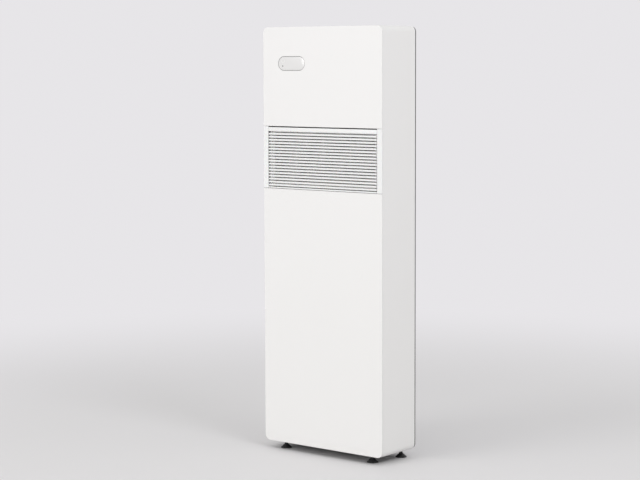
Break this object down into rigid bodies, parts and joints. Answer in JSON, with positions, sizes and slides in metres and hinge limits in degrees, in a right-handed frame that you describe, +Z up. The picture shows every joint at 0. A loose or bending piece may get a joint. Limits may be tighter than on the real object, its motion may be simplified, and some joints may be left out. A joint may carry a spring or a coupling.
{
  "type": "monoblock air conditioner",
  "caption": "Slim tall one-piece air conditioner on levelling feet: louvred front intake with filter, flap outlet in the top, two duct collars at the rear.",
  "frame": {"origin": "on the floor under the middle of the whole object's box", "axes": "+X to the object's right as seen from the front, +Y towards the wall behind it, +Z up"},
  "size_m": [0.5, 0.185, 1.424],
  "materials": {
    "white_coat": "satin powder coat",
    "white_plastic": "satin",
    "lens_grey": "glossy translucent",
    "dark_trim": "matte",
    "black_foam": "matte foam",
    "grey_foam": "foam",
    "galvanised": "zinc coated",
    "steel": "turned",
    "fins": "bare",
    "copper": "drawn tube",
    "compressor_black": "black paint",
    "motor_grey": "cast housing",
    "wheel_plastic": "matte",
    "foot_black": "matte",
    "rubber_black": "matte",
    "hose_grey": "satin",
    "board_green": "solder mask",
    "mesh_grey": "woven"
  },
  "bodies": {
    "cabinet": {"accumulator": "compressor_black", "base_pan": "galvanised", "blower_bearing": "copper", "blower_end_plates": "galvanised", "blower_motor": "motor_grey", "cable_gland": "dark_trim", "casing_screws": "steel", "coil_bends": "copper", "compressor": "compressor_black", "compressor_mounts": "rubber_black", "condensate_tray": "white_plastic", "condenser_coil": "fins", "control_board": "board_green", "display_board": "board_green", "display_gasket": "dark_trim", "display_lens": "lens_grey", "drain_hose": "hose_grey", "drain_spout": "dark_trim", "duct_collars": "white_plastic", "electronics_box": "galvanised", "electronics_lid": "galvanised", "evaporator_coil": "fins", "exhaust_box": "galvanised", "fan_motor": "motor_grey", "fan_scroll": "wheel_plastic", "flap_motor": "motor_grey", "four_way_valve": "copper", "front_tongue": "dark_trim", "grille_frame": "white_plastic", "left_side_panel": "white_coat", "lower_bulkhead": "galvanised", "lower_front_panel": "white_coat", "mid_bulkhead": "wheel_plastic", "outlet_frame": "white_plastic", "rear_insulation": "grey_foam", "rear_panel": "galvanised", "rear_scroll": "dark_trim", "rear_seal": "black_foam", "refrigerant_pipes": "copper", "right_side_panel": "white_coat", "top_panel": "white_coat", "upper_front_panel": "white_coat", "wall_bracket": "galvanised", "wiring_harness": "dark_trim"},
    "air_flap": {"air_flap": "white_plastic"},
    "blower": {"blower_wheel": "wheel_plastic", "blower_shaft": "steel"},
    "condenser_fan": {"fan_wheel": "wheel_plastic", "fan_shaft": "steel"},
    "intake_grille": {"intake_grille": "white_plastic", "filter_frame": "white_plastic", "filter_mesh": "mesh_grey"},
    "foot_pad_front_left": {"foot_pad_front_left": "foot_black"},
    "foot_stud_front_left": {"foot_stud_front_left": "steel"},
    "foot_pad_front_right": {"foot_pad_front_right": "foot_black"},
    "foot_stud_front_right": {"foot_stud_front_right": "steel"},
    "foot_pad_rear_left": {"foot_pad_rear_left": "foot_black"},
    "foot_stud_rear_left": {"foot_stud_rear_left": "steel"},
    "foot_pad_rear_right": {"foot_pad_rear_right": "foot_black"},
    "foot_stud_rear_right": {"foot_stud_rear_right": "steel"}
  },
  "joints": [
    {"name": "flap_hinge", "type": "hinge", "parent": "cabinet", "child": "air_flap", "pos_m": [0, 0.026, 1.4155], "axis": [-1, 0, 0], "range_deg": [0, 85]},
    {"name": "blower_spin", "type": "hinge", "parent": "cabinet", "child": "blower", "pos_m": [0, 0.006, 1.215], "axis": [1, 0, 0], "continuous": true},
    {"name": "fan_spin", "type": "hinge", "parent": "cabinet", "child": "condenser_fan", "pos_m": [-0.072, 0, 0.735], "axis": [0, 1, 0], "continuous": true},
    {"name": "grille_hinge", "type": "hinge", "parent": "cabinet", "child": "intake_grille", "pos_m": [0, -0.0885, 0.892], "axis": [1, 0, 0], "range_deg": [0, 50]},
    {"name": "foot_height_front_left", "type": "slide", "parent": "cabinet", "child": "foot_pad_front_left", "axis": [0, 0, -1], "range_m": [-0.008, 0.01]},
    {"name": "foot_turn_front_left", "type": "hinge", "parent": "foot_pad_front_left", "child": "foot_stud_front_left", "pos_m": [-0.185, -0.059, 0], "axis": [0, 0, 1], "range_deg": [-1920, 2400]},
    {"name": "foot_height_front_right", "type": "slide", "parent": "cabinet", "child": "foot_pad_front_right", "axis": [0, 0, -1], "range_m": [-0.008, 0.01]},
    {"name": "foot_turn_front_right", "type": "hinge", "parent": "foot_pad_front_right", "child": "foot_stud_front_right", "pos_m": [0.185, -0.059, 0], "axis": [0, 0, 1], "range_deg": [-1920, 2400]},
    {"name": "foot_height_rear_left", "type": "slide", "parent": "cabinet", "child": "foot_pad_rear_left", "axis": [0, 0, -1], "range_m": [-0.008, 0.01]},
    {"name": "foot_turn_rear_left", "type": "hinge", "parent": "foot_pad_rear_left", "child": "foot_stud_rear_left", "pos_m": [-0.21, 0.064, 0], "axis": [0, 0, 1], "range_deg": [-1920, 2400]},
    {"name": "foot_height_rear_right", "type": "slide", "parent": "cabinet", "child": "foot_pad_rear_right", "axis": [0, 0, -1], "range_m": [-0.008, 0.01]},
    {"name": "foot_turn_rear_right", "type": "hinge", "parent": "foot_pad_rear_right", "child": "foot_stud_rear_right", "pos_m": [0.21, 0.064, 0], "axis": [0, 0, 1], "range_deg": [-1920, 2400]}
  ],
  "couplings": [
    {"joint": "foot_turn_front_left", "follows": "foot_height_front_left", "rad_per_m": 4188.8},
    {"joint": "foot_turn_front_right", "follows": "foot_height_front_right", "rad_per_m": 4188.8},
    {"joint": "foot_turn_rear_left", "follows": "foot_height_rear_left", "rad_per_m": 4188.8},
    {"joint": "foot_turn_rear_right", "follows": "foot_height_rear_right", "rad_per_m": 4188.8}
  ]
}
